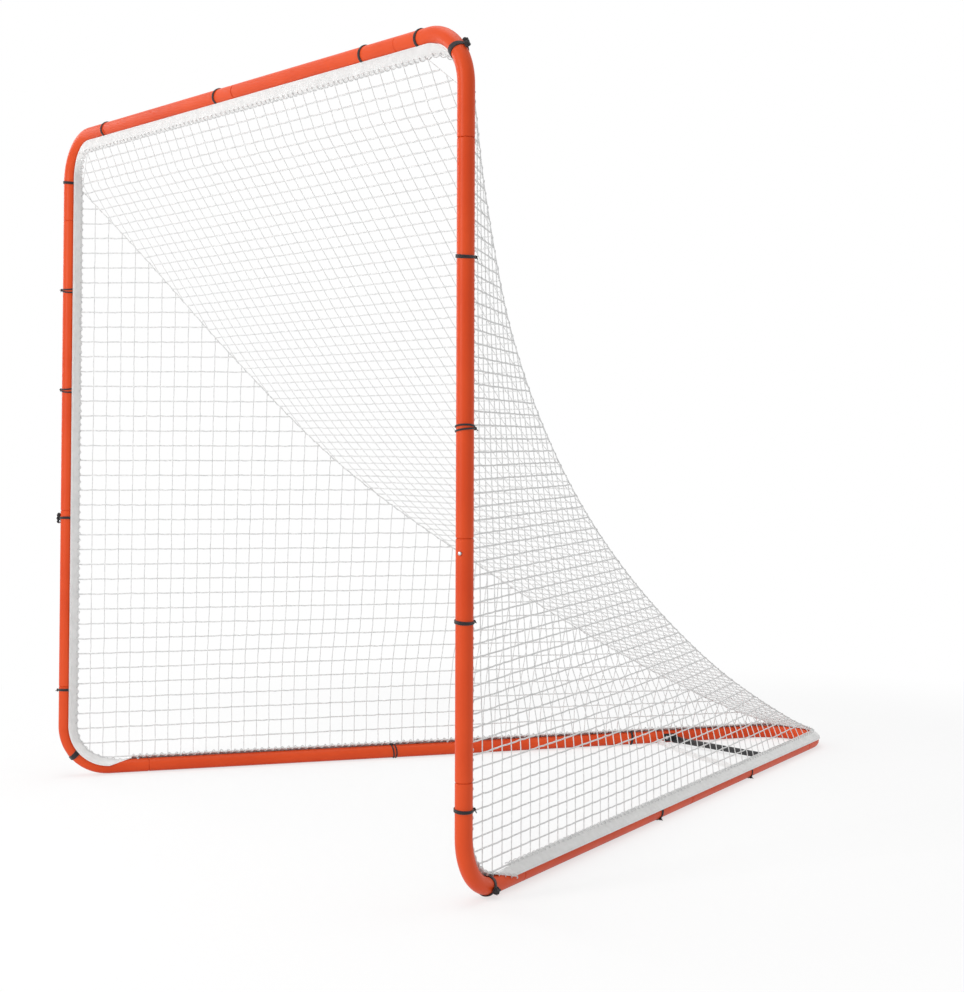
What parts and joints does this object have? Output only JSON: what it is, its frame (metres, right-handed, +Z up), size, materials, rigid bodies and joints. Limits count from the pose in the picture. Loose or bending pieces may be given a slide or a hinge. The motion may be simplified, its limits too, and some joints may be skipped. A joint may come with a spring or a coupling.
{
  "type": "lacrosse goal",
  "caption": "Square tube mouth on a pointed ground frame, plug-together joints with snap buttons, white net tied on with black laces.",
  "frame": {"origin": "on the ground, in the middle of the goal's footprint", "axes": "+Z up, the mouth faces -Y and lies in the XZ plane at y = -1.053 m, the apex points to +Y, +X is the goal's right seen from in front of the mouth"},
  "size_m": [1.9198, 2.1712, 1.8695],
  "materials": {
    "orange_steel": "glossy orange-red powder coat",
    "zinc_spring_steel": "zinc-plated spring steel",
    "zinc_hardware": "zinc-plated steel",
    "black_cord": "matte black cord",
    "white_webbing": "matte white woven tape",
    "net_cord": "matte white braided cord",
    "black_steel": "satin black powder coat"
  },
  "bodies": {
    "frame": {"bottom_right_elbow": "orange_steel", "lower_right_post": "orange_steel", "upper_right_post": "orange_steel", "top_right_elbow": "orange_steel", "crossbar_right": "orange_steel", "crossbar_left": "orange_steel", "top_left_elbow": "orange_steel", "upper_left_post": "orange_steel", "lower_left_post": "orange_steel", "bottom_left_elbow": "orange_steel", "left_rail_front": "orange_steel", "left_rail_rear": "orange_steel", "rear_apex_bend": "orange_steel", "right_rail_rear": "orange_steel", "right_rail_front": "orange_steel", "lace_right_post_1": "black_cord", "lace_right_post_2": "black_cord", "lace_right_post_3": "black_cord", "lace_right_post_4": "black_cord", "lace_left_post_1": "black_cord", "lace_left_post_2": "black_cord", "lace_left_post_3": "black_cord", "lace_left_post_4": "black_cord", "lace_left_post_5": "black_cord", "lace_crossbar_1": "black_cord", "lace_crossbar_2": "black_cord", "lace_crossbar_3": "black_cord", "lace_crossbar_4": "black_cord", "lace_left_rail_1": "black_cord", "lace_left_rail_2": "black_cord", "lace_right_rail_1": "black_cord", "lace_right_rail_2": "black_cord", "lashing_top_right": "black_cord", "lashing_right_foot": "black_cord", "lashing_left_foot": "black_cord", "mouth_tape": "white_webbing", "left_rail_tape": "white_webbing", "right_rail_tape": "white_webbing", "net_right_side": "net_cord", "net_left_side": "net_cord", "net_back": "net_cord", "rear_brace": "black_steel", "brace_bolt_left": "zinc_hardware", "brace_bolt_right": "zinc_hardware", "ground_strap": "white_webbing"},
    "clip_bottom_right_post": {"snap_clip_bottom_right_post": "zinc_spring_steel"},
    "clip_middle_right_post": {"snap_clip_middle_right_post": "zinc_spring_steel"},
    "clip_top_right_post": {"snap_clip_top_right_post": "zinc_spring_steel"},
    "clip_right_crossbar": {"snap_clip_right_crossbar": "zinc_spring_steel"},
    "clip_middle_crossbar": {"snap_clip_middle_crossbar": "zinc_spring_steel"},
    "clip_left_crossbar": {"snap_clip_left_crossbar": "zinc_spring_steel"},
    "clip_top_left_post": {"snap_clip_top_left_post": "zinc_spring_steel"},
    "clip_middle_left_post": {"snap_clip_middle_left_post": "zinc_spring_steel"},
    "clip_bottom_left_post": {"snap_clip_bottom_left_post": "zinc_spring_steel"},
    "clip_front_left_rail": {"snap_clip_front_left_rail": "zinc_spring_steel"},
    "clip_middle_left_rail": {"snap_clip_middle_left_rail": "zinc_spring_steel"},
    "clip_rear_left_rail": {"snap_clip_rear_left_rail": "zinc_spring_steel"},
    "clip_rear_right_rail": {"snap_clip_rear_right_rail": "zinc_spring_steel"},
    "clip_middle_right_rail": {"snap_clip_middle_right_rail": "zinc_spring_steel"},
    "clip_front_right_rail": {"snap_clip_front_right_rail": "zinc_spring_steel"}
  },
  "joints": [
    {"name": "press_bottom_right_post", "type": "slide", "parent": "frame", "child": "clip_bottom_right_post", "axis": [0, -1, 0], "range_m": [0, 0.006], "stiffness_N_per_m": 1500},
    {"name": "press_middle_right_post", "type": "slide", "parent": "frame", "child": "clip_middle_right_post", "axis": [-0.3827, 0.9239, 0], "range_m": [0, 0.006], "stiffness_N_per_m": 1500},
    {"name": "press_top_right_post", "type": "slide", "parent": "frame", "child": "clip_top_right_post", "axis": [0, -1, 0], "range_m": [0, 0.006], "stiffness_N_per_m": 1500},
    {"name": "press_right_crossbar", "type": "slide", "parent": "frame", "child": "clip_right_crossbar", "axis": [0, -1, 0], "range_m": [0, 0.006], "stiffness_N_per_m": 1500},
    {"name": "press_middle_crossbar", "type": "slide", "parent": "frame", "child": "clip_middle_crossbar", "axis": [0, -1, 0], "range_m": [0, 0.006], "stiffness_N_per_m": 1500},
    {"name": "press_left_crossbar", "type": "slide", "parent": "frame", "child": "clip_left_crossbar", "axis": [0, -1, 0], "range_m": [0, 0.006], "stiffness_N_per_m": 1500},
    {"name": "press_top_left_post", "type": "slide", "parent": "frame", "child": "clip_top_left_post", "axis": [0, -1, 0], "range_m": [0, 0.006], "stiffness_N_per_m": 1500},
    {"name": "press_middle_left_post", "type": "slide", "parent": "frame", "child": "clip_middle_left_post", "axis": [0.3827, 0.9239, 0], "range_m": [0, 0.006], "stiffness_N_per_m": 1500},
    {"name": "press_bottom_left_post", "type": "slide", "parent": "frame", "child": "clip_bottom_left_post", "axis": [0, -1, 0], "range_m": [0, 0.006], "stiffness_N_per_m": 1500},
    {"name": "press_front_left_rail", "type": "slide", "parent": "frame", "child": "clip_front_left_rail", "axis": [0, 0, -1], "range_m": [0, 0.006], "stiffness_N_per_m": 1500},
    {"name": "press_middle_left_rail", "type": "slide", "parent": "frame", "child": "clip_middle_left_rail", "axis": [0, 0, -1], "range_m": [0, 0.006], "stiffness_N_per_m": 1500},
    {"name": "press_rear_left_rail", "type": "slide", "parent": "frame", "child": "clip_rear_left_rail", "axis": [0, 0, -1], "range_m": [0, 0.006], "stiffness_N_per_m": 1500},
    {"name": "press_rear_right_rail", "type": "slide", "parent": "frame", "child": "clip_rear_right_rail", "axis": [0, 0, -1], "range_m": [0, 0.006], "stiffness_N_per_m": 1500},
    {"name": "press_middle_right_rail", "type": "slide", "parent": "frame", "child": "clip_middle_right_rail", "axis": [0, 0, -1], "range_m": [0, 0.006], "stiffness_N_per_m": 1500},
    {"name": "press_front_right_rail", "type": "slide", "parent": "frame", "child": "clip_front_right_rail", "axis": [0, 0, -1], "range_m": [0, 0.006], "stiffness_N_per_m": 1500}
  ]
}
